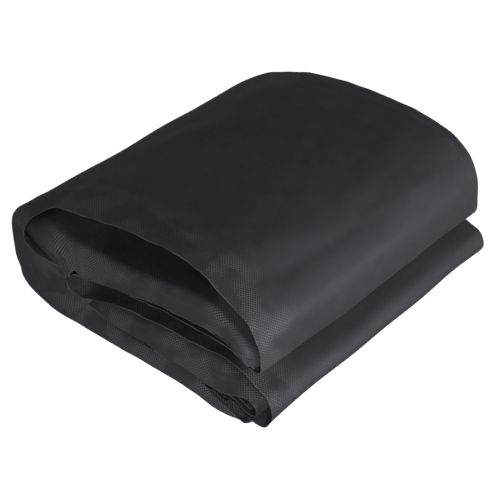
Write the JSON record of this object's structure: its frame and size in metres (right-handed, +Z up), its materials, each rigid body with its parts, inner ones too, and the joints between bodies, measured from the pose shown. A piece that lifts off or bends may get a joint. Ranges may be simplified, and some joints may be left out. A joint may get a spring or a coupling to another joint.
{
  "type": "folded bird netting",
  "caption": "Black fine-mesh bird netting, rolled flat into loose layers and folded over once into a soft bundle with an open, gaping front end.",
  "frame": {"origin": "middle of the bundle's footprint, on the surface it lies on", "axes": "+X along the layers from the gaping front end to the back end, +Y from the noses to the broad turn of the fold, +Z up"},
  "size_m": [0.3131, 0.2821, 0.1262],
  "materials": {
    "net": "matt black knitted polyethylene mesh"
  },
  "bodies": {
    "root": {"netting": "net"}
  },
  "joints": []
}
